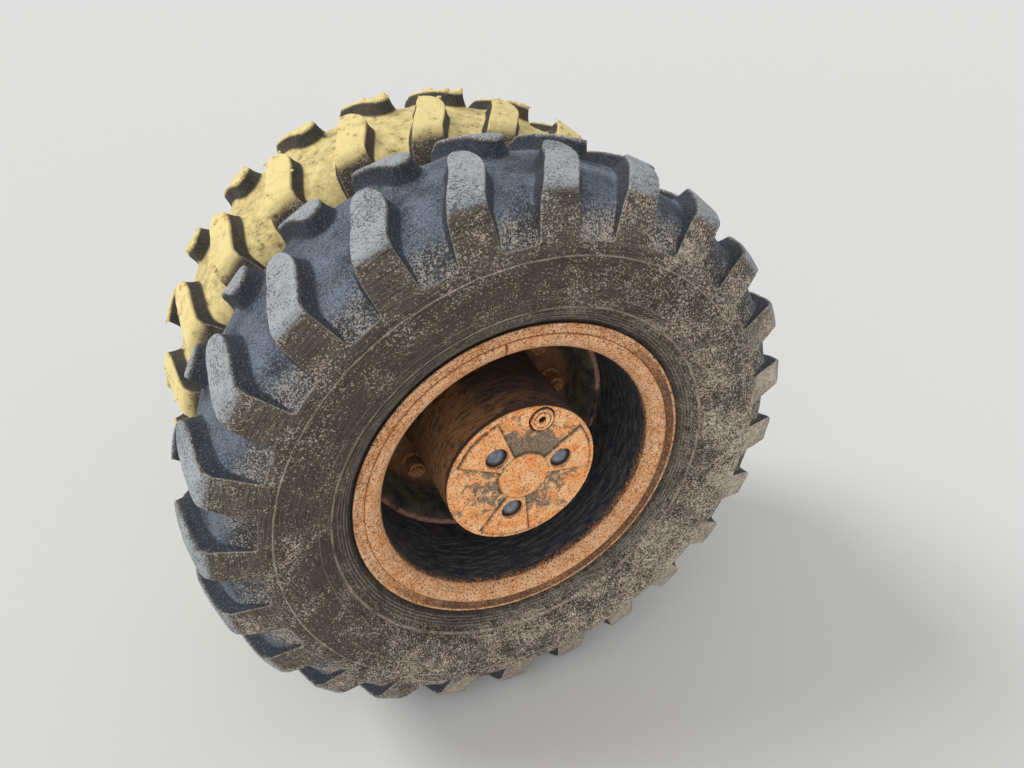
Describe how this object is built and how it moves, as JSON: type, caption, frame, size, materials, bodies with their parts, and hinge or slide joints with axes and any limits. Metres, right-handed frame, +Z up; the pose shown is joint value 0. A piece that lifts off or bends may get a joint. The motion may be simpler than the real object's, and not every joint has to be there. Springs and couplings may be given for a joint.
{
  "type": "twin wheel with hub drive and axle arm",
  "caption": "Twin lugged tyres on dished rims, bolted to a planetary hub that runs on the brake housing and hollow arm of a rigid excavator axle.",
  "frame": {"origin": "centre of the arm's inner bolt flange, on its face", "axes": "+Y along the wheel axis towards the middle of the machine, -Y outboard, +Z up, +X along the machine"},
  "size_m": [1.0588, 1.0695, 1.0588],
  "materials": {
    "axle_paint": "dark grey paint, worn and rusty, under dried mud",
    "bolt_steel": "dull zinc with rust",
    "seal_rubber": "black, oily",
    "shaft_steel": "machined steel, oiled",
    "hub_rust": "dark brown rust on cast iron",
    "cover_rust": "orange rust with grey bare patches",
    "pin_steel": "blue grey, oily",
    "nut_rust": "brown rust",
    "rim_paint": "black paint, dull, with dust",
    "ring_rust": "orange rust",
    "tyre_rubber": "worn black rubber with pale dust and dried mud",
    "valve_brass": "dull brass"
  },
  "bodies": {
    "axle_end": {"axle_arm": "axle_paint", "brake_housing": "axle_paint", "brake_bolts": "bolt_steel", "brake_port": "bolt_steel", "bleed_screw": "bolt_steel", "level_plug": "bolt_steel", "breather": "bolt_steel", "arm_shaft_seal": "seal_rubber"},
    "wheel": {"hub": "hub_rust", "hub_cover": "cover_rust", "cover_plug": "cover_rust", "planet_pins": "pin_steel", "wheel_studs": "nut_rust", "wheel_nuts": "nut_rust", "outer_rim": "rim_paint", "inner_rim": "rim_paint", "outer_side_ring": "ring_rust", "inner_side_ring": "ring_rust", "outer_lock_ring": "ring_rust", "inner_lock_ring": "ring_rust", "outer_tyre": "tyre_rubber", "inner_tyre": "tyre_rubber", "outer_valve": "valve_brass", "inner_valve": "valve_brass"},
    "drive_shaft": {"half_shaft": "shaft_steel"}
  },
  "joints": [
    {"name": "wheel_turn", "type": "hinge", "parent": "axle_end", "child": "wheel", "pos_m": [0, 0, 0], "axis": [0, 1, 0], "continuous": true},
    {"name": "shaft_turn", "type": "hinge", "parent": "axle_end", "child": "drive_shaft", "pos_m": [0, 0, 0], "axis": [0, 1, 0], "continuous": true}
  ],
  "couplings": [
    {"joint": "shaft_turn", "follows": "wheel_turn", "ratio": 6}
  ]
}
